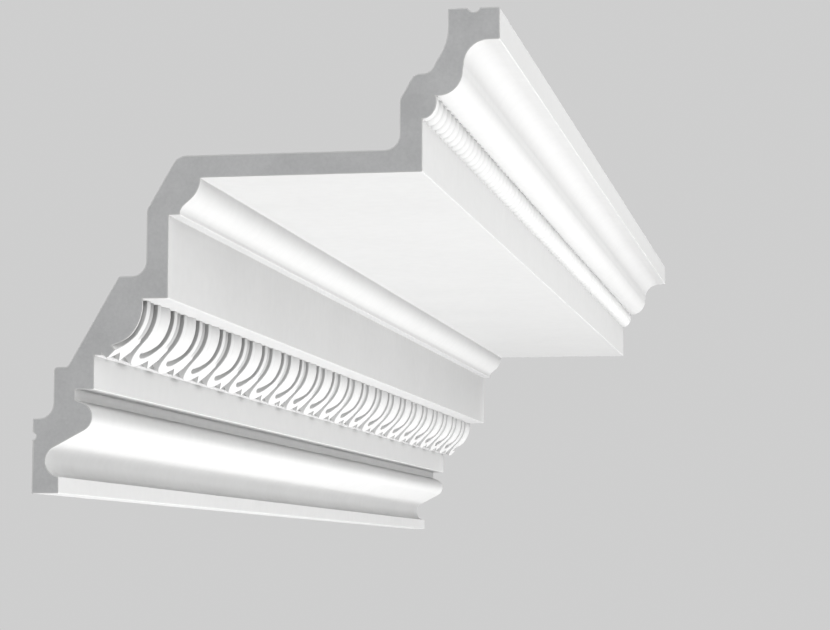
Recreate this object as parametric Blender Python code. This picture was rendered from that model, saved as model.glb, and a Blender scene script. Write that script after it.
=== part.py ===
"""A straight length of cornice moulding with egg-and-dart and bead ornament.

The piece is one cast shell: a moulded face that steps out from a wall foot to a ceiling foot,
hollow behind. X runs out from the wall, Y along the length and Z up. The origin lies on the
back of the wall foot, at mid-length. The section is drawn as a chain of named members from
the bottom edge up, then back down the hollow side, and is swept along Y. The two carved bands
are laid on the section as grids, and the length is trimmed square at both ends.
"""
import math

import bmesh
import bpy

# Length, shell and feet
LENGTH = 1.113
SHELL = 0.012
SEAT_HEIGHT = 0.014
CEILING_FOOT = 0.0273
BACK_SLOPE = math.radians(60.0)
GLUE_GROOVE_WIDTH = 0.0038
GLUE_GROOVE_DEPTH = 0.0019
WALL_FOOT_HEIGHT = 0.0395
WALL_GROOVE_HEIGHT = 0.0302
CEILING_GROOVE_WIDTH = 0.0066
CEILING_GROOVE_DEPTH = 0.0022

# Lower members, from the bottom edge up
BASE_OUT = 0.0146
SCOTIA_IN = 0.0072
SCOTIA_RADIUS = 0.0082
SCOTIA_RISE = 0.0170
TORUS_OUT = 0.0326
TORUS_RADIUS = 0.0080
TORUS_RISE = 0.0232
LEDGE_IN = 0.0232
LEDGE_OUT = 0.0263
LEDGE_RISE = 0.0091
RECESS_HEIGHT = 0.0055
FILLET_OUT = 0.0333
FILLET_HEIGHT = 0.0180

# Egg-and-dart band: a face that falls straight, turns in on an arc and runs out straight
QUIRK = 0.0042
FACE_LEAD = 0.0025
FACE_RADIUS = 0.0252
FACE_TURN = math.radians(47.0)
FACE_TAIL = 0.0160
RELIEF = 0.0030

# Upper members
FRIEZE_STEP = 0.0138
FRIEZE_HEIGHT = 0.0443
BED_STEP = 0.0060
BED_HEIGHT = 0.0195
BED_LOWER_RADIUS = 0.0070
BED_UPPER_RADIUS = 0.0150
BED_TURN = math.radians(52.0)
BED_OUT = 0.0111
SOFFIT_DEPTH = 0.1191
CORONA_HEIGHT = 0.0398
BEAD_OUT = 0.0080
BEAD_HALF_HEIGHT = 0.0095
BEAD_DROP = 0.0030
CYMA_LIP = 0.0003
CYMA_RADIUS = 0.0130
CYMA_STRAIGHT = 0.0030
CYMA_SHIFT = 0.0005
TOP_LIP = 0.0060
TOP_FILLET = 0.0170

# Rounding of the hollow side
HOLLOW_FILLET = 0.0080
HOLLOW_NOSE = 0.0020
HOLLOW_KNEE = 0.0050
HOLLOW_HAUNCH_RISE = 0.0168
HOLLOW_HAUNCH_TOP = 0.0080
HOLLOW_HAUNCH_FOOT = 0.0060
HOLLOW_CROWN_RUN = 0.0077
HOLLOW_BED_RUN = 0.0165
HOLLOW_RECESS_STEP = 0.0075

# Ornament: eggs in round-bottomed rims with a dart between, and a row of touching beads
EGG_PITCH = 0.0530
EGG_PHASE = -0.0034
EGG_CROWN = 0.0005
EGG_SHOULDER = 2 / 3
EGG_SHOULDER_DROP = 0.0008
RIM_HALF_WIDTH = 0.0195
RIM_WIDTH = 0.0061
CHANNEL_WIDTH = 0.0006
WALL_DRAFT = 0.0004
DART_HALF_WIDTH = 0.0019
DART_CREST = 0.0004
DART_FOOT_GAP = 0.0010
DART_BARB = 0.2
DART_BARB_DROP = 0.0018
BEADS_PER_EGG = 4
BEAD_PHASE = 0.0044
BEAD_NECK = 0.72
BEAD_SHOULDER = 0.94
BEAD_SHOULDER_AT = 0.36

# Fineness of curves, in segments
BAND_SIDE_STEPS = 3
BAND_TURN_STEPS = 5
DART_TIP_STEP = 2
BEAD_SECTION_STEPS = 4
CURVE_STEP = math.radians(15.0)
WELD = 0.00001
SHARP_ANGLE = math.radians(35.0)


def arc(centre, radius, start, end):
    """Points along a circle in the section plane, from angle start to angle end."""
    steps = max(1, round(abs(end - start) / CURVE_STEP))
    angles = [start + (end - start) * step / steps for step in range(steps + 1)]
    return [(centre[0] + radius * math.cos(a), centre[1] + radius * math.sin(a)) for a in angles]


def rounded(corners):
    """Outline through (x, z, radius) corners, with every inner corner turned on its radius."""
    points = [corners[0][:2]]
    for before, corner, after in zip(corners, corners[1:], corners[2:]):
        x, z, radius = corner
        back = math.atan2(before[1] - z, before[0] - x)
        ahead = math.atan2(after[1] - z, after[0] - x)
        opening = math.remainder(ahead - back, 2 * math.pi)
        tangent = radius / abs(math.tan(opening / 2))
        reach = radius / abs(math.sin(opening / 2))
        middle = back + opening / 2
        centre = (x + reach * math.cos(middle), z + reach * math.sin(middle))
        first = (x + tangent * math.cos(back), z + tangent * math.sin(back))
        last = (x + tangent * math.cos(ahead), z + tangent * math.sin(ahead))
        start = math.atan2(first[1] - centre[1], first[0] - centre[0])
        sweep = math.remainder(math.atan2(last[1] - centre[1], last[0] - centre[0]) - start, 2 * math.pi)
        points += arc(centre, radius, start, start + sweep)
    return points + [corners[-1][:2]]


def groove(centre, width, depth, direction):
    """A shallow round groove in a face, centred on centre; direction is the way along the face."""
    radius = (width ** 2 / 4 + depth ** 2) / (2 * depth)
    half = math.asin(min(1.0, width / 2 / radius))
    along = math.atan2(direction[1], direction[0])
    inward = along + math.pi / 2
    middle = (centre[0] - (radius - depth) * math.cos(inward),
              centre[1] - (radius - depth) * math.sin(inward))
    return arc(middle, radius, inward + half, inward - half)


class Section:
    """Levels and projections of the members, worked out from their own sizes."""

    def __init__(self):
        self.scotia = (SCOTIA_IN + SCOTIA_RADIUS, SCOTIA_RISE)
        self.torus = (TORUS_OUT - TORUS_RADIUS, SCOTIA_RISE + TORUS_RISE)
        self.ledge = self.torus[1] + LEDGE_RISE
        self.recess_top = self.ledge + RECESS_HEIGHT
        self.fillet_top = self.recess_top + FILLET_HEIGHT
        self.tail_normal = (math.cos(FACE_TURN), -math.sin(FACE_TURN))
        ground_end = (FILLET_OUT + QUIRK, self.fillet_top)
        face_end = (ground_end[0] + RELIEF * self.tail_normal[0],
                    ground_end[1] + RELIEF * self.tail_normal[1])
        self.band_x = (face_end[0] + FACE_RADIUS * (1 - math.cos(FACE_TURN))
                       + FACE_TAIL * math.sin(FACE_TURN))
        self.band_top = (face_end[1] + FACE_LEAD + FACE_RADIUS * math.sin(FACE_TURN)
                         + FACE_TAIL * math.cos(FACE_TURN))
        self.band_length = FACE_LEAD + FACE_RADIUS * FACE_TURN + FACE_TAIL
        self.frieze_x = self.band_x + FRIEZE_STEP
        self.frieze_top = self.band_top + FRIEZE_HEIGHT
        self.bed_x = self.frieze_x + BED_STEP
        self.soffit = self.frieze_top + BED_HEIGHT
        self.corona_x = self.bed_x + BED_OUT + SOFFIT_DEPTH
        self.corona_top = self.soffit + CORONA_HEIGHT
        self.cyma_x = self.corona_x + BEAD_OUT + CYMA_LIP
        self.cyma_top = self.corona_top + 2 * CYMA_RADIUS + CYMA_STRAIGHT
        self.front_x = self.cyma_x + 2 * CYMA_RADIUS + CYMA_SHIFT + TOP_LIP
        self.top = self.cyma_top + TOP_FILLET

    def face(self, distance, height):
        """Point at a distance down the egg band's face, raised along the face's normal."""
        straight = min(distance, FACE_LEAD)
        turn = min(max(distance - FACE_LEAD, 0.0) / FACE_RADIUS, FACE_TURN)
        tail = max(distance - FACE_LEAD - FACE_RADIUS * FACE_TURN, 0.0)
        x = self.band_x - FACE_RADIUS * (1 - math.cos(turn)) - tail * math.sin(turn)
        z = self.band_top - straight - FACE_RADIUS * math.sin(turn) - tail * math.cos(turn)
        return x + height * math.cos(turn), z - height * math.sin(turn)

    def foot_and_torus(self):
        """Front of the piece from the bottom edge up to the inner corner below the egg band."""
        between = math.atan2(self.torus[1] - self.scotia[1], self.torus[0] - self.scotia[0])
        distance = math.dist(self.torus, self.scotia)
        tangent = between - math.asin((SCOTIA_RADIUS + TORUS_RADIUS) / distance)
        scotia_start = -math.acos((BASE_OUT - self.scotia[0]) / SCOTIA_RADIUS)
        scotia_end = tangent + math.pi / 2 - 2 * math.pi
        torus_end = math.acos((LEDGE_OUT - self.torus[0]) / TORUS_RADIUS)
        return ([(0.0, 0.0), (BASE_OUT, 0.0)]
                + arc(self.scotia, SCOTIA_RADIUS, scotia_start, scotia_end)
                + arc(self.torus, TORUS_RADIUS, tangent - math.pi / 2, torus_end)
                + [(LEDGE_IN, self.ledge), (LEDGE_IN, self.recess_top),
                   (FILLET_OUT, self.recess_top), (FILLET_OUT, self.fillet_top)])

    def frieze_to_corona(self):
        """Front from the top of the egg band up the frieze and out to the corona's lower edge."""
        lower = (self.bed_x + BED_LOWER_RADIUS, self.frieze_top)
        upper = (self.bed_x + BED_OUT - BED_UPPER_RADIUS, self.soffit)
        return ([(self.frieze_x, self.band_top), (self.frieze_x, self.frieze_top)]
                + arc(lower, BED_LOWER_RADIUS, math.pi, math.pi - BED_TURN)
                + arc(upper, BED_UPPER_RADIUS, -BED_TURN, 0.0)
                + [(self.corona_x, self.soffit)])

    def cyma_to_ceiling(self):
        """Front from the top of the beads up the crowning curve to the ceiling face."""
        convex = (self.cyma_x, self.corona_top + CYMA_RADIUS)
        concave = (self.cyma_x + 2 * CYMA_RADIUS + CYMA_SHIFT, self.cyma_top - CYMA_RADIUS)
        return (arc(convex, CYMA_RADIUS, -math.pi / 2, 0.0)
                + arc(concave, CYMA_RADIUS, math.pi, math.pi / 2)
                + [(self.front_x, self.cyma_top), (self.front_x, self.top)])

    def ceiling_face(self):
        """Glue groove in the ceiling face, from its front edge to its back edge."""
        middle = (self.front_x - CEILING_FOOT / 2, self.top)
        return groove(middle, CEILING_GROOVE_WIDTH, CEILING_GROOVE_DEPTH, (-1.0, 0.0))

    def hollow_side(self):
        """Back of the shell from the ceiling foot down to the wall foot's upper edge."""
        run = 1 / math.tan(BACK_SLOPE)
        foot_x = self.front_x - CEILING_FOOT
        corona_back = self.corona_x - SHELL
        frieze_back = self.frieze_x - SHELL
        recess_back = LEDGE_IN - SHELL
        upper, middle, lower, low = (
            level + SHELL for level in (self.corona_top, self.soffit, self.band_top, self.recess_top))
        recess_step = recess_back + HOLLOW_RECESS_STEP
        return rounded([
            (foot_x, self.top, 0.0),
            (foot_x, upper + HOLLOW_HAUNCH_RISE, HOLLOW_HAUNCH_TOP),
            (foot_x - HOLLOW_HAUNCH_RISE * run, upper, HOLLOW_HAUNCH_FOOT),
            (corona_back + HOLLOW_CROWN_RUN, upper, HOLLOW_KNEE),
            (corona_back, upper - HOLLOW_CROWN_RUN / run, HOLLOW_KNEE),
            (corona_back, middle, HOLLOW_FILLET),
            (frieze_back + HOLLOW_BED_RUN, middle, HOLLOW_FILLET),
            (frieze_back, middle - HOLLOW_BED_RUN / run, HOLLOW_KNEE),
            (frieze_back, lower, HOLLOW_FILLET),
            (recess_step + (lower - low) * run, lower, HOLLOW_NOSE),
            (recess_step, low, HOLLOW_NOSE),
            (recess_back, low, HOLLOW_NOSE),
            (recess_back, WALL_FOOT_HEIGHT, HOLLOW_FILLET),
            (0.0, WALL_FOOT_HEIGHT, 0.0),
        ])

    def wall_face(self):
        """Glue groove in the wall face, on the way down to the bottom edge."""
        return groove((0.0, WALL_GROOVE_HEIGHT), GLUE_GROOVE_WIDTH, GLUE_GROOVE_DEPTH, (0.0, -1.0))


class Sheet:
    """The open surface under construction; the section's heights start at the bottom edge."""

    def __init__(self):
        self.bm = bmesh.new()

    def vertex(self, x, y, z):
        """One point of the surface, moved into the part's own frame."""
        return self.bm.verts.new((x, y, z - SEAT_HEIGHT))

    def line(self, point, start, end):
        """A straight run along the length at one point of the section."""
        return [self.vertex(point[0], start, point[1]), self.vertex(point[0], end, point[1])]

    def join(self, lower, upper):
        """One flat face between two runs, each listed from the near end to the far end."""
        self.bm.faces.new(lower + upper[::-1])

    def grid(self, rows):
        """Quads between rows of equal length."""
        for lower, upper in zip(rows, rows[1:]):
            for index in range(len(lower) - 1):
                self.bm.faces.new((lower[index], lower[index + 1], upper[index + 1], upper[index]))


def trough(half_width, radius, height, centre):
    """Half a round-bottomed outline as (along, down, height), from its top to its lowest point."""
    sides = [(half_width, centre * step / BAND_SIDE_STEPS, height) for step in range(BAND_SIDE_STEPS)]
    angles = [math.pi / 2 * step / BAND_TURN_STEPS for step in range(BAND_TURN_STEPS + 1)]
    return sides + [(half_width * math.cos(a), centre + radius * math.sin(a), height) for a in angles]


def dart_crest(centre, length):
    """Line down the middle of the dart to its tip, then back along the band's lower edge."""
    half_pitch = EGG_PITCH / 2
    tip = length - DART_FOOT_GAP
    corner = DART_TIP_STEP + 1
    line = [(half_pitch, centre * step / BAND_SIDE_STEPS, -DART_CREST) for step in range(BAND_SIDE_STEPS)]
    for step in range(corner):
        line.append((half_pitch, centre + (tip - centre) * step / DART_TIP_STEP, -DART_CREST))
    for step in range(corner, BAND_TURN_STEPS + 1):
        share = (BAND_TURN_STEPS - step) / (BAND_TURN_STEPS - corner)
        line.append((half_pitch * share, length, -RELIEF))
    return line


def dart_flank(foot, crest):
    """Line between the rim's foot and the dart's crest: side of the shaft, then the head's barb."""
    line = [(EGG_PITCH / 2 - DART_HALF_WIDTH, down, -RELIEF) for _, down, _ in crest[:BAND_SIDE_STEPS + 1]]
    for step in range(1, BAND_TURN_STEPS + 1):
        inner, outer = foot[BAND_SIDE_STEPS + step], crest[BAND_SIDE_STEPS + step]
        share = DART_BARB if step == DART_TIP_STEP else 0.5
        height = -RELIEF
        if step <= DART_TIP_STEP:
            height = -DART_CREST - (DART_BARB_DROP - DART_CREST) * step / DART_TIP_STEP
        line.append((inner[0] + (outer[0] - inner[0]) * share,
                     inner[1] + (outer[1] - inner[1]) * share, height))
    return line


def egg_rings(length):
    """Rings (along, down, height) of half a motif, from the egg's ridge out to the dart's crest."""
    centre = length - RIM_HALF_WIDTH - WALL_DRAFT
    inner = RIM_HALF_WIDTH - RIM_WIDTH
    floor = inner - CHANNEL_WIDTH
    shoulder = floor * EGG_SHOULDER
    foot = trough(RIM_HALF_WIDTH + WALL_DRAFT, RIM_HALF_WIDTH + WALL_DRAFT / 2, -RELIEF, centre)
    crest = dart_crest(centre, length)
    return [
        trough(0.0, floor - shoulder, EGG_CROWN, centre),
        trough(shoulder, shoulder, EGG_CROWN - EGG_SHOULDER_DROP, centre),
        trough(floor, floor, -RELIEF, centre),
        trough(inner, inner, 0.0, centre),
        trough(RIM_HALF_WIDTH, RIM_HALF_WIDTH, 0.0, centre),
        foot,
        dart_flank(foot, crest),
        crest,
    ]


def lay_egg_band(sheet, section, start, end):
    """Egg-and-dart relief over the band; returns its top and bottom runs."""
    half = egg_rings(section.band_length)
    rings = [[(-along, down, height) for along, down, height in ring] + ring[-2::-1] for ring in half]
    corner = BAND_SIDE_STEPS + DART_TIP_STEP + 1
    first = start + EGG_PHASE
    count = math.ceil((end - first) / EGG_PITCH) + 1
    top = []
    bottom = []
    for number in range(-1, count):
        middle = first + number * EGG_PITCH
        rows = []
        for ring in rings:
            places = [(section.face(down, height), middle + along) for along, down, height in ring]
            rows.append([sheet.vertex(x, y, z) for (x, z), y in places])
        sheet.grid(rows)
        top += [row[0] for row in rows[::-1]] + [row[-1] for row in rows]
        bottom += rows[-1][corner:-corner]
    return top, bottom


def lay_beads(sheet, section, start, end):
    """Row of touching beads under the crowning curve; returns its bottom and top runs."""
    pitch = EGG_PITCH / BEADS_PER_EGG
    shape = [(-0.5, BEAD_NECK), (-BEAD_SHOULDER_AT, BEAD_SHOULDER), (0.0, 1.0),
             (BEAD_SHOULDER_AT, BEAD_SHOULDER)]
    first = start + BEAD_PHASE
    count = math.ceil((end - first) / pitch) + 1
    rows = []
    for number in range(-1, count):
        for share, scale in shape:
            along = first + (number + share) * pitch
            reach = BEAD_OUT * scale
            drop = BEAD_HALF_HEIGHT * scale
            top_angle = math.asin(BEAD_DROP / drop)
            row = []
            for step in range(BEAD_SECTION_STEPS + 1):
                angle = -math.pi / 2 + (math.pi / 2 + top_angle) * step / BEAD_SECTION_STEPS
                x = section.corona_x + reach * math.cos(angle)
                z = section.corona_top - BEAD_DROP + drop * math.sin(angle)
                row.append(sheet.vertex(x, along, z))
            rows.append(row)
    sheet.grid(rows)
    return [row[0] for row in rows], [row[-1] for row in rows]


def lay_plain(sheet, points, before, after, start, end):
    """Plain members swept along the length between the runs before and after them."""
    runs = [before] + [sheet.line(point, start, end) for point in points] + [after]
    for lower, upper in zip(runs, runs[1:]):
        sheet.join(lower, upper)


def trim_square(bm, start, end):
    """Cut the sheet square at both ends and close the ends with flat faces."""
    for position, direction in ((start, -1.0), (end, 1.0)):
        geometry = bm.verts[:] + bm.edges[:] + bm.faces[:]
        cut = bmesh.ops.bisect_plane(bm, geom=geometry, dist=0.0, plane_co=(0.0, position, 0.0),
                                     plane_no=(0.0, direction, 0.0), clear_outer=True)
        edges = [item for item in cut["geom_cut"] if isinstance(item, bmesh.types.BMEdge)]
        bmesh.ops.contextual_create(bm, geom=edges)


def create_cornice_mesh():
    """The whole length as one closed mesh."""
    section = Section()
    sheet = Sheet()
    near = -LENGTH / 2
    far = LENGTH / 2
    start = near - EGG_PITCH
    end = far + EGG_PITCH
    egg_top, egg_bottom = lay_egg_band(sheet, section, near, far)
    bead_bottom, bead_top = lay_beads(sheet, section, near, far)
    around = (section.cyma_to_ceiling() + section.ceiling_face() + section.hollow_side()
              + section.wall_face() + section.foot_and_torus())
    lay_plain(sheet, around, bead_top, egg_bottom, start, end)
    lay_plain(sheet, section.frieze_to_corona(), egg_top, bead_bottom, start, end)
    bm = sheet.bm
    bmesh.ops.remove_doubles(bm, verts=bm.verts[:], dist=WELD)
    trim_square(bm, near, far)
    bmesh.ops.dissolve_degenerate(bm, dist=WELD, edges=bm.edges[:])
    bmesh.ops.triangulate(bm, faces=[face for face in bm.faces if len(face.verts) > 4])
    bmesh.ops.recalc_face_normals(bm, faces=bm.faces[:])
    mesh = bpy.data.meshes.new("cornice_length")
    bm.to_mesh(mesh)
    bm.free()
    return mesh


def create_primed_white():
    """White priming coat over the cast shell."""
    material = bpy.data.materials.new("primed_white")
    material.use_nodes = True
    shader = material.node_tree.nodes["Principled BSDF"]
    shader.inputs["Base Color"].default_value = (0.82, 0.82, 0.81, 1.0)
    shader.inputs["Roughness"].default_value = 0.55
    shader.inputs["Metallic"].default_value = 0.0
    return material


def main():
    """Clear the scene and build the length."""
    for item in list(bpy.data.objects):
        bpy.data.objects.remove(item)
    mesh = create_cornice_mesh()
    mesh.materials.append(create_primed_white())
    mesh.shade_smooth()
    mesh.set_sharp_from_angle(angle=SHARP_ANGLE)
    cornice = bpy.data.objects.new("cornice_length", mesh)
    bpy.context.scene.collection.objects.link(cornice)


main()
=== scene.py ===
"""Dressing of the cornice length: fine carving, soft arrises, primed face and cut foam ends.

X runs out from the wall, Y along the length and Z up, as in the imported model. The levels of the
section are measured from its bottom edge, which lies below the origin by the seat height.
"""

import logging
import math
from dataclasses import dataclass, field
from enum import Enum

import bmesh
import bpy
from mathutils import Matrix, Vector


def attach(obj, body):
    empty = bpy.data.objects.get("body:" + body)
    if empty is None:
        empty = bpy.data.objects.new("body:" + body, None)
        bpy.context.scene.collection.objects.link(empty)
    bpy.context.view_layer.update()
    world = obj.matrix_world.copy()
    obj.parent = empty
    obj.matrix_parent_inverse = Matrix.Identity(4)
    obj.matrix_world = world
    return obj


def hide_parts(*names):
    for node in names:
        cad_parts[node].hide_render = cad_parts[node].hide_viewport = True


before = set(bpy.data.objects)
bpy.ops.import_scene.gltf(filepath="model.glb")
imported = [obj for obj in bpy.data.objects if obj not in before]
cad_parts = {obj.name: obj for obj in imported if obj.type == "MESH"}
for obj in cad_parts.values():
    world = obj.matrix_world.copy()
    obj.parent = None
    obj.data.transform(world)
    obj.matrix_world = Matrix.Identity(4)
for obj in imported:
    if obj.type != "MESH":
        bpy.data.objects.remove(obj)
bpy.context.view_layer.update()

NODE = "cornice_length"
BODY = "root"
MM = 0.001
WELD = 0.01 * MM
ON_PLANE = 0.002 * MM
CUT_TOLERANCE = 0.001 * MM

Point = tuple[float, float]
Place = tuple[float, float, float]
Tone = tuple[float, float, float, float]
log = logging.getLogger("cornice")


class Finish(Enum):
    """Which coat a face of the piece wears, as its material slot."""

    FACE = 0
    CORE = 1
    BACK = 2


@dataclass(frozen=True)
class Curves:
    """How finely curves are divided and how soft the arrises are."""

    chord: float = 1.1 * MM
    widest_step: float = math.radians(22.5)
    arris: float = 0.45 * MM
    sharp_turn: float = math.radians(25.0)
    arris_room: float = 0.45
    flat_width: float = 2.4 * MM

    def steps(self, radius: float, sweep: float) -> int:
        """Number of segments for an arc of this radius and sweep."""
        return max(2, math.ceil(abs(sweep) * max(radius / self.chord, 1 / self.widest_step)))

    def arc(self, centre: Point, radius: float, start: float, end: float) -> list[Point]:
        """Points along a circle in the section plane.

        Args:
            centre: middle of the circle.
            radius: its radius.
            start: first angle.
            end: last angle.

        Returns:
            The points, both ends included.
        """
        steps = self.steps(radius, end - start)
        angles = [start + (end - start) * step / steps for step in range(steps + 1)]
        return [(centre[0] + radius * math.cos(a), centre[1] + radius * math.sin(a)) for a in angles]

    def rounded(self, corners: list[tuple[float, float, float]]) -> list[Point]:
        """Outline through (x, z, radius) corners, each turned on its own radius.

        Args:
            corners: places and radii; a radius of nought leaves the corner as it is.

        Returns:
            The points of the outline.
        """
        points = [corners[0][:2]]
        for before, corner, after in zip(corners, corners[1:], corners[2:]):
            x, z, radius = corner
            if radius == 0.0:
                points.append((x, z))
                continue
            back = math.atan2(before[1] - z, before[0] - x)
            ahead = math.atan2(after[1] - z, after[0] - x)
            opening = math.remainder(ahead - back, 2 * math.pi)
            tangent = radius / abs(math.tan(opening / 2))
            reach = radius / abs(math.sin(opening / 2))
            middle = back + opening / 2
            centre = (x + reach * math.cos(middle), z + reach * math.sin(middle))
            first = (x + tangent * math.cos(back), z + tangent * math.sin(back))
            last = (x + tangent * math.cos(ahead), z + tangent * math.sin(ahead))
            start = math.atan2(first[1] - centre[1], first[0] - centre[0])
            end = math.atan2(last[1] - centre[1], last[0] - centre[0])
            points += self.arc(centre, radius, start, start + math.remainder(end - start, 2 * math.pi))
        return points + [corners[-1][:2]]

    def softened(self, outline: list[Point]) -> list[Point]:
        """Ease every sharp turn to the arris radius, as cast and painted edges are.

        Args:
            outline: points of the section.

        Returns:
            The points of the softened outline.
        """
        corners = [(*outline[0], 0.0)]
        for before, point, after in zip(outline, outline[1:], outline[2:]):
            into = math.atan2(point[1] - before[1], point[0] - before[0])
            out = math.atan2(after[1] - point[1], after[0] - point[0])
            turn = abs(math.remainder(out - into, 2 * math.pi))
            shortest = min(math.dist(before, point), math.dist(point, after))
            room = self.arris_room * shortest / max(math.tan(turn / 2), WELD)
            corners.append((*point, min(self.arris, room) if turn > self.sharp_turn else 0.0))
        return self.rounded(corners + [(*outline[-1], 0.0)])


@dataclass
class Section:
    """Sizes of the members, and the levels and projections that follow from them."""

    curves: Curves = field(default_factory=Curves)
    shell: float = 12.0 * MM
    seat_height: float = 14.0 * MM
    ceiling_foot: float = 27.3 * MM
    back_slope: float = math.radians(60.0)
    wall_foot: float = 39.5 * MM
    wall_groove: tuple[float, float, float] = (30.2 * MM, 3.8 * MM, 1.9 * MM)
    ceiling_groove: tuple[float, float] = (6.6 * MM, 2.2 * MM)

    base_out: float = 14.6 * MM
    scotia_in: float = 7.2 * MM
    scotia_radius: float = 8.2 * MM
    scotia_rise: float = 17.0 * MM
    torus_out: float = 32.6 * MM
    torus_radius: float = 8.0 * MM
    torus_rise: float = 23.2 * MM
    ledge_in: float = 23.2 * MM
    ledge_out: float = 26.3 * MM
    ledge_rise: float = 9.1 * MM
    recess_height: float = 5.5 * MM
    fillet_out: float = 33.3 * MM
    fillet_height: float = 18.0 * MM

    quirk: float = 4.2 * MM
    face_lead: float = 2.5 * MM
    face_radius: float = 25.2 * MM
    face_turn: float = math.radians(47.0)
    face_tail: float = 16.0 * MM
    relief: float = 3.0 * MM

    frieze_step: float = 13.8 * MM
    frieze_height: float = 44.3 * MM
    bed_step: float = 6.0 * MM
    bed_height: float = 19.5 * MM
    bed_radii: tuple[float, float] = (7.0 * MM, 15.0 * MM)
    bed_turn: float = math.radians(52.0)
    bed_out: float = 11.1 * MM
    soffit_depth: float = 119.1 * MM
    corona_height: float = 39.8 * MM
    bead_out: float = 8.0 * MM
    cyma_lip: float = 0.3 * MM
    cyma_radius: float = 13.0 * MM
    cyma_straight: float = 3.0 * MM
    cyma_shift: float = 0.5 * MM
    top_lip: float = 6.0 * MM
    top_fillet: float = 17.0 * MM

    hollow_fillet: float = 8.0 * MM
    hollow_nose: float = 2.0 * MM
    hollow_knee: float = 5.0 * MM
    haunch_rise: float = 16.8 * MM
    haunch_radii: tuple[float, float] = (28.0 * MM, 6.0 * MM)
    crown_run: float = 7.7 * MM
    bed_run: float = 16.5 * MM
    recess_step: float = 7.5 * MM
    lead: float = 1.5 * MM

    def __post_init__(self) -> None:
        """Work out the levels and projections from the sizes."""
        self.scotia = (self.scotia_in + self.scotia_radius, self.scotia_rise)
        self.torus = (self.torus_out - self.torus_radius, self.scotia_rise + self.torus_rise)
        self.ledge = self.torus[1] + self.ledge_rise
        self.recess_top = self.ledge + self.recess_height
        self.fillet_top = self.recess_top + self.fillet_height
        foot_x = self.fillet_out + self.quirk + self.relief * math.cos(self.face_turn)
        foot_z = self.fillet_top - self.relief * math.sin(self.face_turn)
        self.band_x = (foot_x + self.face_radius * (1 - math.cos(self.face_turn))
                       + self.face_tail * math.sin(self.face_turn))
        self.band_top = (foot_z + self.face_lead + self.face_radius * math.sin(self.face_turn)
                         + self.face_tail * math.cos(self.face_turn))
        self.band_length = self.face_lead + self.face_radius * self.face_turn + self.face_tail
        self.frieze_x = self.band_x + self.frieze_step
        self.frieze_top = self.band_top + self.frieze_height
        self.bed_x = self.frieze_x + self.bed_step
        self.soffit = self.frieze_top + self.bed_height
        self.corona_x = self.bed_x + self.bed_out + self.soffit_depth
        self.corona_top = self.soffit + self.corona_height
        self.cyma_x = self.corona_x + self.bead_out + self.cyma_lip
        self.cyma_top = self.corona_top + 2 * self.cyma_radius + self.cyma_straight
        self.front_x = self.cyma_x + 2 * self.cyma_radius + self.cyma_shift + self.top_lip
        self.top = self.cyma_top + self.top_fillet

    def face(self, down: float, height: float) -> Point:
        """Point on the carved band.

        Args:
            down: distance down the band's face.
            height: how far the point is raised along the face's normal.

        Returns:
            The point in the section plane.
        """
        straight = min(down, self.face_lead)
        turn = min(max(down - self.face_lead, 0.0) / self.face_radius, self.face_turn)
        tail = max(down - self.face_lead - self.face_radius * self.face_turn, 0.0)
        x = self.band_x - self.face_radius * (1 - math.cos(turn)) - tail * math.sin(turn)
        z = self.band_top - straight - self.face_radius * math.sin(turn) - tail * math.cos(turn)
        return x + height * math.cos(turn), z - height * math.sin(turn)

    def groove(self, centre: Point, width: float, depth: float, along: float) -> list[Point]:
        """Shallow round groove for adhesive.

        Args:
            centre: middle of the groove on the face.
            width: its width.
            depth: its depth.
            along: direction in which the outline runs past it.

        Returns:
            The points of the groove.
        """
        radius = (width ** 2 / 4 + depth ** 2) / (2 * depth)
        half = math.asin(min(1.0, width / 2 / radius))
        inward = along + math.pi / 2
        middle = (centre[0] - (radius - depth) * math.cos(inward),
                  centre[1] - (radius - depth) * math.sin(inward))
        return self.curves.arc(middle, radius, inward + half, inward - half)

    def foot_and_torus(self) -> list[Point]:
        """Front from the bottom edge up to the quirk below the carved band.

        Returns:
            The points of that run of the outline.
        """
        between = math.atan2(self.torus[1] - self.scotia[1], self.torus[0] - self.scotia[0])
        distance = math.dist(self.torus, self.scotia)
        tangent = between - math.asin((self.scotia_radius + self.torus_radius) / distance)
        scotia_start = -math.acos((self.base_out - self.scotia[0]) / self.scotia_radius)
        torus_end = math.acos((self.ledge_out - self.torus[0]) / self.torus_radius)
        arc = self.curves.arc
        return ([(0.0, 0.0), (self.base_out, 0.0)]
                + arc(self.scotia, self.scotia_radius, scotia_start, tangent - 1.5 * math.pi)
                + arc(self.torus, self.torus_radius, tangent - math.pi / 2, torus_end)
                + [(self.ledge_in, self.ledge), (self.ledge_in, self.recess_top),
                   (self.fillet_out, self.recess_top), (self.fillet_out, self.fillet_top),
                   (self.fillet_out + self.lead, self.fillet_top)])

    def frieze_to_corona(self) -> list[Point]:
        """Front from over the carved band up the frieze and bed mould and out to the corona.

        Returns:
            The points of that run of the outline.
        """
        lower = (self.bed_x + self.bed_radii[0], self.frieze_top)
        upper = (self.bed_x + self.bed_out - self.bed_radii[1], self.soffit)
        arc = self.curves.arc
        return ([(self.frieze_x - self.lead, self.band_top), (self.frieze_x, self.band_top),
                 (self.frieze_x, self.frieze_top)]
                + arc(lower, self.bed_radii[0], math.pi, math.pi - self.bed_turn)
                + arc(upper, self.bed_radii[1], -self.bed_turn, 0.0)
                + [(self.corona_x, self.soffit), (self.corona_x, self.soffit + self.lead)])

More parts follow.
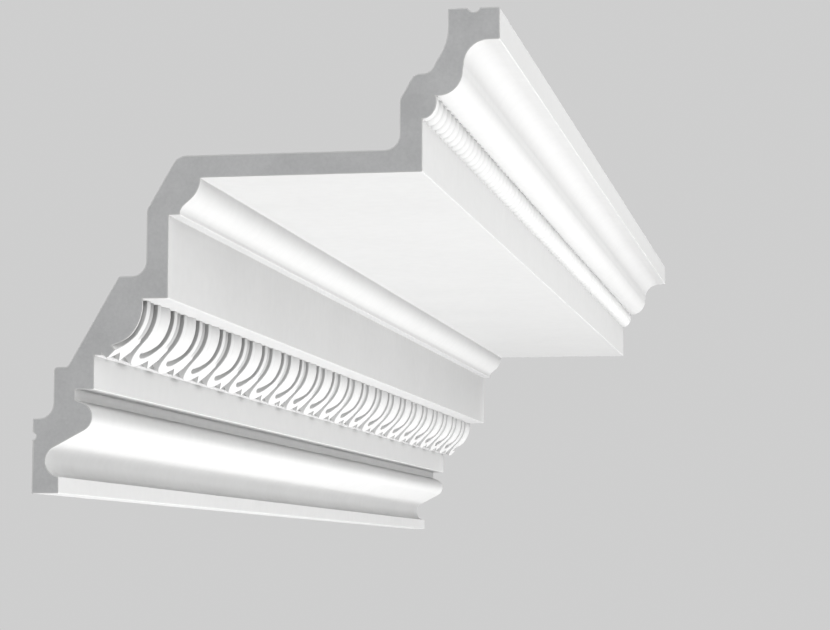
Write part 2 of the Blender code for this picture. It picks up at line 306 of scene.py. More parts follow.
    def cyma_to_ceiling(self) -> list[Point]:
        """Front from the top of the beads up the crowning curve to the ceiling face.

        Returns:
            The points of that run of the outline.
        """
        convex = (self.cyma_x, self.corona_top + self.cyma_radius)
        concave = (self.cyma_x + 2 * self.cyma_radius + self.cyma_shift, self.cyma_top - self.cyma_radius)
        arc = self.curves.arc
        return (arc(convex, self.cyma_radius, -math.pi / 2, 0.0)
                + arc(concave, self.cyma_radius, math.pi, math.pi / 2)
                + [(self.front_x, self.cyma_top), (self.front_x, self.top)])

    def hollow_side(self) -> list[Point]:
        """Ceiling face, back of the shell and wall face, down to the bottom edge.

        Returns:
            The points of that run of the outline.
        """
        run = 1 / math.tan(self.back_slope)
        foot_x = self.front_x - self.ceiling_foot
        corona_back = self.corona_x - self.shell
        frieze_back = self.frieze_x - self.shell
        recess_back = self.ledge_in - self.shell
        upper, middle, lower, low = (
            level + self.shell for level in (self.corona_top, self.soffit, self.band_top, self.recess_top))
        step = recess_back + self.recess_step
        back = self.curves.rounded([
            (foot_x, self.top, 0.0),
            (foot_x, upper + self.haunch_rise, self.haunch_radii[0]),
            (foot_x - self.haunch_rise * run, upper, self.haunch_radii[1]),
            (corona_back + self.crown_run, upper, self.hollow_knee),
            (corona_back, upper - self.crown_run / run, self.hollow_knee),
            (corona_back, middle, self.hollow_fillet),
            (frieze_back + self.bed_run, middle, self.hollow_fillet),
            (frieze_back, middle - self.bed_run / run, self.hollow_knee),
            (frieze_back, lower, self.hollow_fillet),
            (step + (lower - low) * run, lower, self.hollow_nose),
            (step, low, self.hollow_nose),
            (recess_back, low, self.hollow_nose),
            (recess_back, self.wall_foot, self.hollow_fillet),
            (0.0, self.wall_foot, 0.0),
        ])
        ceiling_middle = (self.front_x - self.ceiling_foot / 2, self.top)
        height, width, depth = self.wall_groove
        return (self.groove(ceiling_middle, *self.ceiling_groove, math.pi) + back
                + self.groove((0.0, height), width, depth, -math.pi / 2))


@dataclass
class EggAndDart:
    """Carved band: eggs in round-bottomed rims, with a barbed dart between each two."""

    section: Section
    pitch: float = 53.0 * MM
    phase: float = -3.8 * MM
    crown: float = 0.4 * MM
    rim_half_width: float = 19.5 * MM
    rim_width: float = 6.1 * MM
    rim_arris: float = 0.5 * MM
    arris_margin: float = 0.15 * MM
    arris_turns: tuple[float, ...] = (math.radians(30.0), math.radians(60.0), math.radians(90.0))
    arris_run_out: float = 1.6
    channel: float = 0.6 * MM
    draft: float = 0.4 * MM
    ground_drop: float = 1.9 * MM
    ground_fall: tuple[float, float] = (19.0 * MM, 31.0 * MM)
    ground_lip: float = 1.9 * MM
    dart_half_width: float = 1.9 * MM
    dart_crest: float = 0.5 * MM
    dart_tip_gap: float = 1.0 * MM
    barb_slope: float = math.tan(math.radians(9.0))
    barb_start: tuple[float, float] = (20.6 * MM, 24.0 * MM)
    riser: float = 0.5 * MM
    barb_turn: float = math.radians(36.0)
    side_steps: int = 13
    barb_steps: int = 8
    lower_steps: int = 11
    egg_shares: tuple[float, ...] = (0.0, 0.1, 0.2, 0.3, 0.4, 0.5, 0.6, 0.7, 0.8, 0.88, 0.95, 1.0)
    ground_shares: tuple[float, ...] = (0.12, 0.3, 0.5)
    shaft_shares: tuple[float, ...] = (0.0, 0.4, 0.75, 1.0)

    def __post_init__(self) -> None:
        """Work out the middle of the turn and the spacing of the columns."""
        self.length = self.section.band_length
        self.centre = self.length - self.rim_half_width - self.draft
        self.outer_foot = self.rim_half_width + self.draft
        self.egg_floor = self.rim_half_width - self.rim_width - self.channel
        riser_turn = self.riser / self.outer_foot
        self.turns = [self.barb_turn * step / self.barb_steps for step in range(self.barb_steps + 1)]
        rest = math.pi / 2 - self.barb_turn - riser_turn
        self.turns += [self.barb_turn + riser_turn + rest * step / self.lower_steps
                       for step in range(self.lower_steps + 1)]

    def trough(self, radius: float, height: float) -> list[Place]:
        """Half a round-bottomed ring, from its top to its lowest point.

        Args:
            radius: half of the ring's width.
            height: its height over the rim's level.

        Returns:
            Places as (along, down, height).
        """
        sides = [(radius, self.centre * step / self.side_steps, height) for step in range(self.side_steps)]
        return sides + [(radius * math.cos(turn), self.centre + radius * math.sin(turn), height)
                        for turn in self.turns]

    def egg(self) -> list[list[Place]]:
        """Lay out the egg, whose section is one arc from its crown to the channel floor.

        Returns:
            The rings of the egg, from its middle outwards.
        """
        drop = self.crown + self.section.relief
        radius = (self.egg_floor ** 2 + drop ** 2) / (2 * drop)
        rings = []
        for share in self.egg_shares:
            out = self.egg_floor * share
            rings.append(self.trough(out, self.crown - radius + math.sqrt(radius ** 2 - out ** 2)))
        return rings

    def ground(self, down: float) -> float:
        """Height of the ground between the rims, sunk to a pocket over the band's lower edge.

        Args:
            down: distance down the face.

        Returns:
            The height over the rim's level, which is negative.
        """
        lip = min(max((self.length - down) / self.ground_lip, 0.0), 1.0)
        return -self.section.relief - self.ground_drop * eased(down, self.ground_fall) * lip

    def rim(self) -> list[list[Place]]:
        """Lay out the rim, from the inner foot over both soft arrises to the outer foot.

        Returns:
            The rings of the rim.
        """
        inner = self.rim_half_width - self.rim_width
        low = -self.section.relief
        soft = self.rim_arris
        half = [(inner - self.draft / 2, low), (inner - self.draft / 10, -soft - self.arris_margin),
                (inner, -soft)]
        for turn in self.arris_turns:
            half.append((inner + soft * (1 - math.cos(turn)), -soft * (1 - math.sin(turn))))
        half.append((inner + self.arris_run_out * soft, 0.0))
        mirrored = [(2 * inner + self.rim_width - out, height) for out, height in reversed(half[1:])]
        rings = [self.trough(out, height) for out, height in half + mirrored]
        foot = [(along, min(down, self.length)) for along, down, _ in self.trough(self.outer_foot, low)]
        return rings + [[(along, down, self.ground(down)) for along, down in foot]]

    def crest(self) -> list[Point]:
        """Line down the dart to its tip, then back along the band's lower edge.

        Returns:
            Points as (along, down).
        """
        half_pitch = self.pitch / 2
        tip = self.length - self.dart_tip_gap
        line = [(half_pitch, self.centre * step / self.side_steps) for step in range(self.side_steps)]
        for turn in self.turns:
            share = turn / self.barb_turn
            if share <= 1.0:
                line.append((half_pitch, self.centre + (tip - self.centre) * share))
            elif len(line) == self.side_steps + self.barb_steps + 1:
                line.append((half_pitch, tip + self.riser))
            else:
                step = len(line) - self.side_steps - self.barb_steps - 2
                line.append((half_pitch * (1 - step / (self.lower_steps - 1)), self.length))
        return line

    def height_between(self, column: int, along: float, down: float) -> float:
        """Height of the ground, shaft or barb at a place between the rims.

        Args:
            column: number of the column, counted from the top of the band.
            along: distance from the middle of the egg.
            down: distance down the face.

        Returns:
            The height over the rim's level, which is negative.
        """
        if column > self.side_steps + self.barb_steps:
            return self.ground(down)
        low = -self.section.relief
        side = self.pitch / 2 - along
        ridge = low + (-self.dart_crest - low) * max(0.0, 1 - side / self.dart_half_width)
        barb = -self.dart_crest - self.barb_slope * side
        return max(ridge, low + (barb - low) * eased(down, self.barb_start))

    def between(self) -> list[list[Place]]:
        """Lay out the ground and half of the dart.

        Returns:
            Rings from the rim's outer foot to the dart's crest.
        """
        foot = [(along, down) for along, down, _ in self.trough(self.outer_foot, 0.0)]
        foot = [(along, min(down, self.length)) for along, down in foot]
        crest = self.crest()
        shaft = 1 - self.dart_half_width / (self.pitch / 2 - self.outer_foot)
        shares = [*self.ground_shares, *(shaft + (1 - shaft) * share for share in self.shaft_shares)]
        rings = []
        for share in shares:
            ring = []
            for column, (inner, outer) in enumerate(zip(foot, crest)):
                along = inner[0] + (outer[0] - inner[0]) * share
                down = inner[1] + (outer[1] - inner[1]) * share
                ring.append((along, down, self.height_between(column, along, down)))
            rings.append(ring)
        return rings

    def build(self, bm: bmesh.types.BMesh, start: float, end: float) -> None:
        """Lay the band from start to end, with a motif to spare at each end.

        Args:
            bm: mesh that takes the band.
            start: near cut.
            end: far cut.
        """
        rings = self.egg() + self.rim() + self.between()
        columns, rows = len(rings[0]) - 1, len(rings) - 1
        grid = bmesh.ops.create_grid(bm, x_segments=columns, y_segments=rows, size=1.0)
        middle = start + self.phase
        for vert in grid["verts"]:
            column = round((vert.co.x + 1) / 2 * columns)
            row = round((vert.co.y + 1) / 2 * rows)
            along, down, height = rings[row][column]
            x, z = self.section.face(down, height)
            vert.co = (x, along, z - self.section.seat_height)
        bmesh.ops.mirror(bm, geom=bm.verts[:] + bm.edges[:] + bm.faces[:], matrix=Matrix.Identity(4),
                         merge_dist=-1.0, axis="Y")
        bmesh.ops.remove_doubles(bm, verts=bm.verts[:], dist=WELD)
        bmesh.ops.translate(bm, verts=bm.verts[:], vec=(0.0, middle, 0.0))
        repeat(bm, self.pitch, math.ceil((end - middle) / self.pitch) + 1)
        trim_square(bm, start, end)


@dataclass
class BeadRow:
    """Row of touching barrel beads under the crowning curve."""

    section: Section
    pitch: float = 13.25 * MM
    phase: float = 3.3 * MM
    half_height: float = 9.5 * MM
    drop: float = 3.0 * MM
    neck: float = 0.55
    barrel: float = 2.8
    along_steps: int = 12
    around_steps: int = 14

    def build(self, bm: bmesh.types.BMesh, start: float, end: float) -> None:
        """Lay the row from start to end, with a bead to spare at each end.

        Args:
            bm: mesh that takes the row.
            start: near cut.
            end: far cut.
        """
        grid = bmesh.ops.create_grid(
            bm, x_segments=self.along_steps, y_segments=self.around_steps, size=1.0)
        middle = start + self.phase
        section = self.section
        for vert in grid["verts"]:
            scale = 1 - (1 - self.neck) * abs(vert.co.x) ** self.barrel
            reach, rise = section.bead_out * scale, self.half_height * scale
            top = math.asin(self.drop / rise)
            angle = -math.pi / 2 + (math.pi / 2 + top) * (vert.co.y + 1) / 2
            vert.co = (section.corona_x + reach * math.cos(angle),
                       middle + vert.co.x * self.pitch / 2,
                       section.corona_top - self.drop + rise * math.sin(angle) - section.seat_height)
        repeat(bm, self.pitch, math.ceil((end - middle) / self.pitch) + 1)
        trim_square(bm, start, end)


def eased(value: float, limits: Point) -> float:
    """Share from nought at the first limit to one at the second, with soft ends.

    Args:
        value: where the share is asked for.
        limits: where the change begins and where it is full.

    Returns:
        The share.
    """
    share = min(max((value - limits[0]) / (limits[1] - limits[0]), 0.0), 1.0)
    return share ** 2 * (3 - 2 * share)


def repeat(bm: bmesh.types.BMesh, pitch: float, count: int) -> None:
    """Repeat all that is in the mesh along the length, one before it and the rest after it.

    Args:
        bm: mesh that holds one motif.
        pitch: distance from one motif to the next.
        count: number of motifs after the first.
    """
    motif = bm.verts[:] + bm.edges[:] + bm.faces[:]
    for number in [-1] + list(range(1, count)):
        made = bmesh.ops.duplicate(bm, geom=motif)
        verts = [item for item in made["geom"] if isinstance(item, bmesh.types.BMVert)]
        bmesh.ops.translate(bm, verts=verts, vec=(0.0, number * pitch, 0.0))
    bmesh.ops.remove_doubles(bm, verts=bm.verts[:], dist=WELD)


def trim_square(bm: bmesh.types.BMesh, start: float, end: float) -> None:
    """Cut the mesh square at both ends.

    Args:
        bm: mesh that runs past both cuts.
        start: near cut.
        end: far cut.
    """
    for position, direction in ((start, -1.0), (end, 1.0)):
        bmesh.ops.bisect_plane(bm, geom=bm.verts[:] + bm.edges[:] + bm.faces[:], dist=CUT_TOLERANCE,
                               plane_co=(0.0, position, 0.0), plane_no=(0.0, direction, 0.0),
                               clear_outer=True)


def add_part(bm: bmesh.types.BMesh, part: EggAndDart | BeadRow, start: float, end: float) -> None:
    """Build a carved part in a mesh of its own and add it to the whole.

    Args:
        bm: mesh of the whole piece.
        part: the carved part.
        start: near cut.
        end: far cut.
    """
    own = bmesh.new()
    part.build(own, start, end)
    for face in own.faces:
        face.smooth = True
    mesh = bpy.data.meshes.new("carved_part")
    own.to_mesh(mesh)
    own.free()
    bm.from_mesh(mesh)
    bpy.data.meshes.remove(mesh)


@dataclass
class CorniceLength:
    """The whole cast length: plain members swept between two carved parts, with sawn ends."""

    section: Section = field(default_factory=Section)
    length: float = 1113.0 * MM
    # Width of the pale ring round each cut end: the foam's denser skin, and a painted highlight along the
    # arris.
    skin_and_highlight: float = 0.55 * MM
    skin_and_highlight_weld: float = 0.9
    ring_sides: int = 4
    crease: float = math.radians(38.0)

    def sweep(self, bm: bmesh.types.BMesh, outline: list[Point], back: range) -> None:
        """Extrude an outline along the length and give each strip its shading and finish.

        Args:
            bm: mesh that takes the strips.
            outline: points of the section.
            back: numbers of the outline's segments that lie on the hollow side.
        """
        near = -self.length / 2
        verts = [bm.verts.new((x, near, z - self.section.seat_height)) for x, z in outline]
        edges = [bm.edges.new(pair) for pair in zip(verts, verts[1:])]
        widths = [edge.calc_length() for edge in edges]
        made = bmesh.ops.extrude_edge_only(bm, edges=edges)
        moved = [item for item in made["geom"] if isinstance(item, bmesh.types.BMVert)]
        bmesh.ops.translate(bm, verts=moved, vec=(0.0, self.length, 0.0))
        bm.normal_update()
        for number, edge in enumerate(edges):
            strip = edge.link_faces[0]
            strip.smooth = widths[number] < self.section.curves.flat_width
            strip.material_index = (Finish.BACK if number in back else Finish.FACE).value

    def close_gap(self, bm: bmesh.types.BMesh, axis: int, level: float) -> None:
        """Fill the flat strip between a carved part and the plain member beside it.

        Args:
            bm: mesh with the open strip.
            axis: number of the axis that the strip stands square to.
            level: where the strip lies on that axis.
        """
        reach = self.length / 2 - ON_PLANE
        runs = [edge for edge in bm.edges if edge.is_boundary
                and all(abs(vert.co[axis] - level) < ON_PLANE for vert in edge.verts)
                and abs(edge.verts[0].co.y - edge.verts[1].co.y) > ON_PLANE]
        along = {vert for edge in runs for vert in edge.verts}
        for side in (-1.0, 1.0):
            ends = [vert for vert in along if vert.co.y * side > reach]
            runs.append(bm.edges.new(ends))
        bmesh.ops.edgeloop_fill(bm, edges=runs, mat_nr=Finish.FACE.value, use_smooth=False)

    def close_end(self, bm: bmesh.types.BMesh, position: float) -> None:
        """Close a sawn end: grey core in painted shade inside a thin ring of skin that is also a painted
        highlight.

        Args:
            bm: mesh with the open end.
            position: where the cut lies along the length.
        """
        rim = [edge for edge in bm.edges if edge.is_boundary
               and all(abs(vert.co.y - position) < ON_PLANE for vert in edge.verts)]
        cap = bmesh.ops.edgeloop_fill(bm, edges=rim, mat_nr=Finish.CORE.value, use_smooth=False)["faces"]
        # The pale ring of primed face round the core is denser skin and also a painted highlight along the
        # arris.
        ring = bmesh.ops.inset_region(bm, faces=cap, thickness=self.skin_and_highlight, use_even_offset=True)["faces"]
        for face in ring:
            face.material_index = Finish.FACE.value
            face.smooth = False
        bmesh.ops.remove_doubles(bm, verts=cap[0].verts[:], dist=self.skin_and_highlight_weld * self.skin_and_highlight)
        core = [face for face in bm.faces
                if len(face.verts) > self.ring_sides and face.material_index == Finish.CORE.value]
        bmesh.ops.triangulate(bm, faces=core, ngon_method="BEAUTY")

    def members(self, bm: bmesh.types.BMesh) -> None:
        """Lay the carved parts and sweep the plain members between them.

        Args:
            bm: empty mesh that takes them.
        """
        near, far = -self.length / 2, self.length / 2
        section = self.section
        add_part(bm, EggAndDart(section), near, far)
        add_part(bm, BeadRow(section), near, far)
        soften = section.curves.softened
        self.sweep(bm, soften(section.frieze_to_corona()), range(0))
        around = soften(section.cyma_to_ceiling() + section.hollow_side() + section.foot_and_torus())
        corners = [min(range(len(around)), key=lambda index, spot=spot: math.dist(around[index], spot))
                   for spot in ((section.front_x, section.top), (0.0, 0.0))]
        self.sweep(bm, around, range(*corners))

    def seal(self, bm: bmesh.types.BMesh) -> None:
        """Close the strips beside the carved parts and both sawn ends.

        Args:
            bm: mesh with all members.
        """
        section, seat = self.section, self.section.seat_height
        self.close_gap(bm, 2, section.band_top - seat)
        self.close_gap(bm, 0, section.corona_x)
        self.close_gap(bm, 2, section.corona_top - seat)
        self.close_gap(bm, 2, section.fillet_top - seat)
        self.close_end(bm, -self.length / 2)
        self.close_end(bm, self.length / 2)

    def build(self) -> bpy.types.Object:
        """Model the length as one closed mesh.

        Returns:
            The piece, at the origin.
        """
        bm = bmesh.new()
        self.members(bm)
        self.seal(bm)
        bmesh.ops.recalc_face_normals(bm, faces=bm.faces[:])
        bm.normal_update()
        for edge in bm.edges:
            edge.smooth = edge.calc_face_angle(0.0) < self.crease
        open_edges = sum(1 for edge in bm.edges if not edge.is_manifold)
        mesh = bpy.data.meshes.new("cornice_carved")
        bm.to_mesh(mesh)
        bm.free()
        mesh.calc_loop_triangles()
        log.info("cornice_carved: %d triangles, %d open edges", len(mesh.loop_triangles), open_edges)
        piece = bpy.data.objects.new("cornice_carved", mesh)
        bpy.context.scene.collection.objects.link(piece)
        return piece


class NodePen:
    """Short hand for laying nodes in a material or a group."""

    def __init__(self, tree: bpy.types.NodeTree) -> None:
        """Keep the tree that the nodes go into."""
        self.tree = tree

    def node(self, kind: str, **settings: object) -> bpy.types.Node:
        """Add a node.

        Args:
            kind: Blender's name for the node.
            settings: the node's own settings by name.

        Returns:
            The node.
        """
        made = self.tree.nodes.new(kind)
        for name, value in settings.items():
            setattr(made, name, value)
        return made

    def join(self, source: bpy.types.NodeSocket, target: bpy.types.NodeSocket) -> None:
        """Link an output to an input."""
        self.tree.links.new(source, target)

    def value(self, operation: str, first: object, second: object = 0.0) -> bpy.types.NodeSocket:
        """Lay a Math node.

        Args:
            operation: what the node does.
            first: socket or number.
            second: socket or number.

        Returns:
            The node's output.
        """
        made = self.node("ShaderNodeMath", operation=operation)
        for socket, given in zip(made.inputs, (first, second)):
            if isinstance(given, bpy.types.NodeSocket):
                self.join(given, socket)
            else:
                socket.default_value = given
        return made.outputs[0]

    def spread(self, source: bpy.types.NodeSocket, low: float, high: float,
               to_low: float, to_high: float) -> bpy.types.NodeSocket:
        """Map a range of values onto another, clamped at both ends.

        Args:
            source: socket with the value.
            low: start of its range.
            high: end of its range.
            to_low: what the start becomes.
            to_high: what the end becomes.

        Returns:
            The socket with the mapped value.
        """
        made = self.node("ShaderNodeMapRange")
        self.join(source, made.inputs["Value"])
        for name, number in zip(("From Min", "From Max", "To Min", "To Max"), (low, high, to_low, to_high)):
            made.inputs[name].default_value = number
        return made.outputs["Result"]

    def mixed(self, share: bpy.types.NodeSocket, first: object, second: object) -> bpy.types.NodeSocket:
        """Mix two colours.

        Args:
            share: socket with the share of the second colour.
            first: colour or socket.
            second: colour or socket.

        Returns:
            The socket with the mixed colour.
        """
        made = self.node("ShaderNodeMix", data_type="RGBA")
        self.join(share, made.inputs["Factor"])
        for name, given in (("A", first), ("B", second)):
            socket = next(item for item in made.inputs if item.name == name and item.type == "RGBA")
            if isinstance(given, bpy.types.NodeSocket):
                self.join(given, socket)
            else:
                socket.default_value = given
        return next(item for item in made.outputs if item.type == "RGBA")


def new_group(name: str, takes: dict[str, tuple[str, object]], gives: dict[str, str]) -> tuple[
        bpy.types.NodeTree, NodePen, bpy.types.Node, bpy.types.Node]:
    """Make a shader node group with named sockets.

    Args:
        name: name of the group.
        takes: kind and first value of each input.
        gives: kind of each output.

    Returns:
        The group, its pen, its input node and its output node.
    """
    group = bpy.data.node_groups.new(name, "ShaderNodeTree")
    for label, (kind, first) in takes.items():
        socket = group.interface.new_socket(label, in_out="INPUT", socket_type=kind)
        if first is not None:
            socket.default_value = first
    for label, kind in gives.items():
        group.interface.new_socket(label, in_out="OUTPUT", socket_type=kind)
    pen = NodePen(group)
    return group, pen, pen.node("NodeGroupInput"), pen.node("NodeGroupOutput")


@dataclass(frozen=True)
class Mottle:
    """Broad and fine unevenness of a coat, shared by all finishes."""

    fine_times: float = 14.0
    broad_detail: float = 3.0
    fine_detail: float = 2.0
    broad_share: float = 0.65
    fine_share: float = 0.35
    limits: tuple[float, float] = (0.35, 0.65)

    def build(self) -> bpy.types.NodeTree:
        """Lay the group.

        Returns:
            The group, which gives a colour between two and the mask that chose it.
        """
        group, pen, given, result = new_group(
            "coat_mottle",
            {"Vector": ("NodeSocketVector", None), "Pale": ("NodeSocketColor", (1.0, 1.0, 1.0, 1.0)),
             "Deep": ("NodeSocketColor", (0.9, 0.9, 0.9, 1.0)), "Scale": ("NodeSocketFloat", 12.0)},
            {"Color": "NodeSocketColor", "Mask": "NodeSocketFloat"})
        broad = pen.node("ShaderNodeTexNoise")
        fine = pen.node("ShaderNodeTexNoise")
        layers = ((broad, 1.0, self.broad_detail), (fine, self.fine_times, self.fine_detail))
        for texture, times, detail in layers:
            pen.join(given.outputs["Vector"], texture.inputs["Vector"])
            pen.join(pen.value("MULTIPLY", given.outputs["Scale"], times), texture.inputs["Scale"])
            texture.inputs["Detail"].default_value = detail
        both = pen.value("ADD", pen.value("MULTIPLY", broad.outputs["Fac"], self.broad_share),
                         pen.value("MULTIPLY", fine.outputs["Fac"], self.fine_share))
        mask = pen.spread(both, *self.limits, 0.0, 1.0)
        pen.join(pen.mixed(mask, given.outputs["Pale"], given.outputs["Deep"]), result.inputs["Color"])
        pen.join(mask, result.inputs["Mask"])
        return group


@dataclass(frozen=True)
class Grain:
    """Fine relief of a cast or sprayed surface with scattered pinholes, shared by all finishes."""

    detail: float = 2.0
    pinhole_limit: float = 0.8
    pinhole_edge: tuple[float, float] = (0.02, 0.05)

    def build(self) -> bpy.types.NodeTree:
        """Lay the group.

        Returns:
            The group, which gives the height of the relief.
        """
        group, pen, given, result = new_group(
            "surface_grain",
            {"Vector": ("NodeSocketVector", None), "Grain": ("NodeSocketFloat", 700.0),
             "Pinholes": ("NodeSocketFloat", 90.0), "Depth": ("NodeSocketFloat", 0.5)},
            {"Height": "NodeSocketFloat"})
        grain = pen.node("ShaderNodeTexNoise")
        pen.join(given.outputs["Vector"], grain.inputs["Vector"])
        pen.join(given.outputs["Grain"], grain.inputs["Scale"])
        grain.inputs["Detail"].default_value = self.detail
        cells = pen.node("ShaderNodeTexVoronoi")
        pen.join(given.outputs["Vector"], cells.inputs["Vector"])
        pen.join(given.outputs["Pinholes"], cells.inputs["Scale"])
        parts = pen.node("ShaderNodeSeparateColor")
        pen.join(cells.outputs["Color"], parts.inputs["Color"])
        chosen = pen.value("GREATER_THAN", parts.outputs[0], self.pinhole_limit)
        round_hole = pen.spread(cells.outputs["Distance"], *self.pinhole_edge, 1.0, 0.0)
        sunk = pen.value("MULTIPLY", pen.value("MULTIPLY", round_hole, chosen), given.outputs["Depth"])
        pen.join(pen.value("SUBTRACT", grain.outputs["Fac"], sunk), result.inputs["Height"])
        return group


@dataclass(frozen=True)
class Coat:
    """One finish of the piece: two tones, the scale of its mottle and grain, and its roughness."""

    name: str
    pale: Tone
    deep: Tone
    mottle: float
    grain: float
    pinholes: float
    pit_depth: float
    bump: float
    roughness: tuple[float, float]
    relief: float = 0.1 * MM

    def build(self, mottle: bpy.types.NodeTree, grain: bpy.types.NodeTree) -> bpy.types.Material:
        """Make the material.

        Args:
            mottle: shared group for uneven tone.
            grain: shared group for fine relief.

        Returns:
            The material.
        """
        material = bpy.data.materials.new(self.name)
        material.use_nodes = True
        pen = NodePen(material.node_tree)
        shader = material.node_tree.nodes["Principled BSDF"]
        place = pen.node("ShaderNodeTexCoord").outputs["Object"]
        tone = pen.node("ShaderNodeGroup", node_tree=mottle)
        pen.join(place, tone.inputs["Vector"])
        tone.inputs["Pale"].default_value = self.pale
        tone.inputs["Deep"].default_value = self.deep
        tone.inputs["Scale"].default_value = self.mottle
        pen.join(tone.outputs["Color"], shader.inputs["Base Color"])
        pen.join(pen.spread(tone.outputs["Mask"], 0.0, 1.0, *self.roughness), shader.inputs["Roughness"])
        surface = pen.node("ShaderNodeGroup", node_tree=grain)
        pen.join(place, surface.inputs["Vector"])
        surface.inputs["Grain"].default_value = self.grain
        surface.inputs["Pinholes"].default_value = self.pinholes
        surface.inputs["Depth"].default_value = self.pit_depth
        bump = pen.node("ShaderNodeBump")
        bump.inputs["Strength"].default_value = self.bump
        bump.inputs["Distance"].default_value = self.relief
        pen.join(surface.outputs["Height"], bump.inputs["Height"])
        pen.join(bump.outputs["Normal"], shader.inputs["Normal"])
        return material


COATS = {
    Finish.FACE: Coat(
        "primed_face", pale=(0.84, 0.84, 0.835, 1.0), deep=(0.80, 0.80, 0.795, 1.0), mottle=9.0,
        grain=650.0, pinholes=70.0, pit_depth=0.8, bump=0.18, roughness=(0.42, 0.52)),
    # The sawn core's grey tone is painted shade of the end face; its roughness, mottle, grain and pinholes
    # are the foam's own.
    Finish.CORE: Coat(
        "sawn_core_painted_shade", pale=(0.74, 0.745, 0.75, 1.0), deep=(0.64, 0.645, 0.65, 1.0), mottle=40.0,
        grain=1900.0, pinholes=420.0, pit_depth=1.5, bump=0.6, roughness=(0.78, 0.88)),
    Finish.BACK: Coat(
        "cast_back", pale=(0.80, 0.795, 0.775, 1.0), deep=(0.72, 0.715, 0.69, 1.0), mottle=14.0,
        grain=420.0, pinholes=160.0, pit_depth=1.6, bump=0.5, roughness=(0.55, 0.7)),
}


@dataclass(frozen=True)
class Viewpoint:
    """The camera, from the place and direction that the cut end and the long edges give."""

    place: Place = (429.1 * MM, -1796.8 * MM, -54.0 * MM)
    yaw: float = math.radians(-10.217)
    pitch: float = math.radians(5.951)
    roll: float = math.radians(0.125)
    lens: float = 106.25
    sensor: float = 36.0
    sight: float = 100.0

    def build(self) -> None:
        """Set the camera up and make it the scene's own."""
        data = bpy.data.cameras.new("viewpoint")
        data.lens = self.lens
        data.sensor_width = self.sensor
        data.clip_end = self.sight
        ahead = Vector((math.sin(self.yaw) * math.cos(self.pitch),
                        math.cos(self.yaw) * math.cos(self.pitch), math.sin(self.pitch)))
        right = Vector((math.cos(self.yaw), -math.sin(self.yaw), 0.0))
        up = right.cross(ahead)
        cosine, sine = math.cos(self.roll), math.sin(self.roll)
        axes = Matrix((right * cosine + up * sine, up * cosine - right * sine, -ahead)).transposed()
        camera = bpy.data.objects.new("viewpoint", data)
        camera.matrix_world = Matrix.Translation(self.place) @ axes.to_4x4()
        bpy.context.scene.collection.objects.link(camera)
        bpy.context.scene.camera = camera


@dataclass(frozen=True)
class Softbox:
    """A square light panel, its place, its side, its power and where it points."""

    name: str
    place: Place
    side: float
    power: float
    aim: Place = (0.1, 0.0, 0.05)

    def build(self) -> None:
        """Hang the light and turn it to its aim."""
        data = bpy.data.lights.new(self.name, "AREA")
        data.shape = "SQUARE"
        data.size = self.side
        data.energy = self.power
        light = bpy.data.objects.new(self.name, data)
        light.location = self.place
        way = Vector(self.aim) - Vector(self.place)
        light.rotation_euler = way.to_track_quat("-Z", "Y").to_euler()
        light.visible_camera = False
        bpy.context.scene.collection.objects.link(light)


@dataclass(frozen=True)
class Skylight:
    """Broad soft light from behind and above, for the floor, the back and the top."""

    tilt: float = math.radians(38.0)
    heading: float = math.radians(140.0)
    softness: float = math.radians(40.0)
    strength: float = 1.9

    def build(self) -> None:
        """Set the light so that it falls from its heading."""
        data = bpy.data.lights.new("skylight", "SUN")
        data.angle = self.softness
        data.energy = self.strength
        light = bpy.data.objects.new("skylight", data)
        light.rotation_euler = (0.0, self.tilt, self.heading)
        bpy.context.scene.collection.objects.link(light)


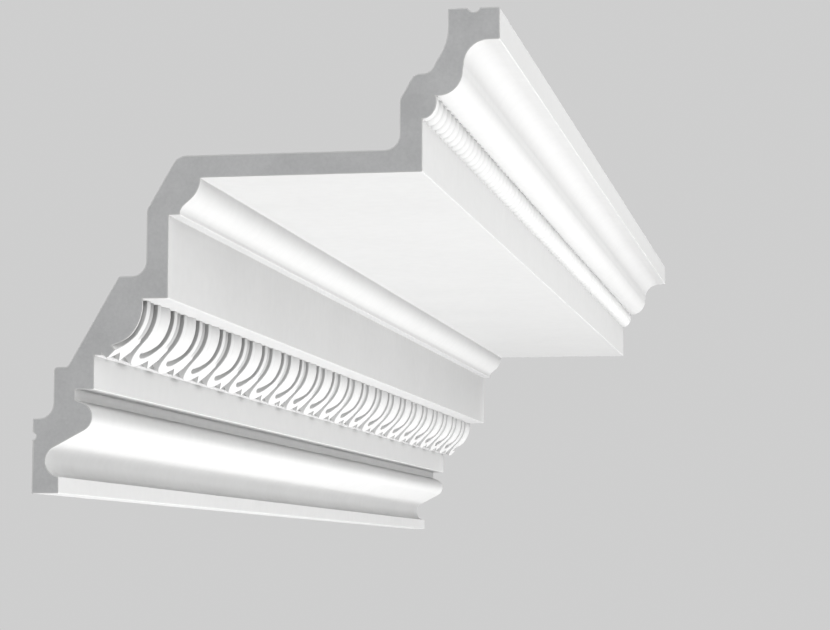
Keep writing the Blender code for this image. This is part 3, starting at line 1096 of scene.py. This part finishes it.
@dataclass(frozen=True)
class Studio:
    """Plain pale floor, even surroundings and soft lights from the right, below and behind.

    Light isn't passed on from one surface to the next, which keeps the depth of shade of the
    photo in the narrow carving; the surroundings stand in for it.
    """

    floor_level: float = -2.2
    floor_side: float = 40.0
    floor_tone: Tone = (0.82, 0.82, 0.82, 1.0)
    floor_roughness: float = 0.9
    surround: float = 0.25
    backdrop: float = 0.62
    diffuse_bounces: int = 0
    skylight: Skylight = Skylight()
    lights: tuple[Softbox, ...] = (
        Softbox("below", (0.4, -0.3, -2.1), 1.4, 54.0),
        Softbox("low", (2.2, 0.2, -2.05), 1.2, 37.0),
        Softbox("side", (3.1, 0.0, 0.05), 1.2, 34.0),
        Softbox("side_high", (2.9, -0.5, 1.1), 1.2, 12.0),
        Softbox("high_far", (2.2, 1.0, 2.0), 1.2, 15.0),
        Softbox("front_low", (0.6, -2.8, -1.0), 1.2, 10.0),
        Softbox("front_high", (0.6, -2.8, 1.1), 1.2, 19.0),
        Softbox("back", (-2.2, 1.2, 1.2), 1.6, 16.0),
    )

    def build(self) -> None:
        """Lay the floor, set the surroundings and hang the lights."""
        self.lay_floor()
        self.set_surroundings()
        for light in (*self.lights, self.skylight):
            light.build()
        bpy.context.scene.view_settings.view_transform = "Standard"
        bpy.context.scene.cycles.diffuse_bounces = self.diffuse_bounces

    def lay_floor(self) -> None:
        """Lay the floor, low enough for lights to stand under the piece."""
        bm = bmesh.new()
        bmesh.ops.create_grid(bm, x_segments=1, y_segments=1, size=self.floor_side / 2)
        bmesh.ops.translate(bm, verts=bm.verts[:], vec=(0.0, 0.0, self.floor_level))
        mesh = bpy.data.meshes.new("floor")
        bm.to_mesh(mesh)
        bm.free()
        floor = bpy.data.objects.new("floor", mesh)
        bpy.context.scene.collection.objects.link(floor)
        material = bpy.data.materials.new("pale_floor")
        material.use_nodes = True
        shader = material.node_tree.nodes["Principled BSDF"]
        shader.inputs["Base Color"].default_value = self.floor_tone
        shader.inputs["Roughness"].default_value = self.floor_roughness
        mesh.materials.append(material)

    def set_surroundings(self) -> None:
        """Even light from all round, and a paler backdrop where the camera looks past the piece."""
        world = bpy.data.worlds.new("surroundings")
        world.use_nodes = True
        bpy.context.scene.world = world
        pen = NodePen(world.node_tree)
        world.node_tree.nodes.clear()
        seen = pen.node("ShaderNodeLightPath").outputs["Is Camera Ray"]
        background = pen.node("ShaderNodeBackground")
        pen.join(pen.spread(seen, 0.0, 1.0, self.surround, self.backdrop), background.inputs["Strength"])
        background.inputs["Color"].default_value = (1.0, 1.0, 1.0, 1.0)
        pen.join(background.outputs["Background"], pen.node("ShaderNodeOutputWorld").inputs["Surface"])


def dress(piece: bpy.types.Object) -> None:
    """Give the piece its three finishes in the order of their slots, and its place in the frame.

    Args:
        piece: the finished length.
    """
    mottle, grain = Mottle().build(), Grain().build()
    for finish in Finish:
        piece.data.materials.append(COATS[finish].build(mottle, grain))
    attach(piece, BODY)
    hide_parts(NODE)


def main() -> None:
    """Build the view, the studio and the piece."""
    logging.basicConfig(level=logging.INFO, format="%(name)s: %(message)s")
    Viewpoint().build()
    Studio().build()
    piece = CorniceLength().build()
    dress(piece)
    log.info("%s stands for %s and rides on %s", piece.name, NODE, BODY)


if __name__ == "__main__":
    main()
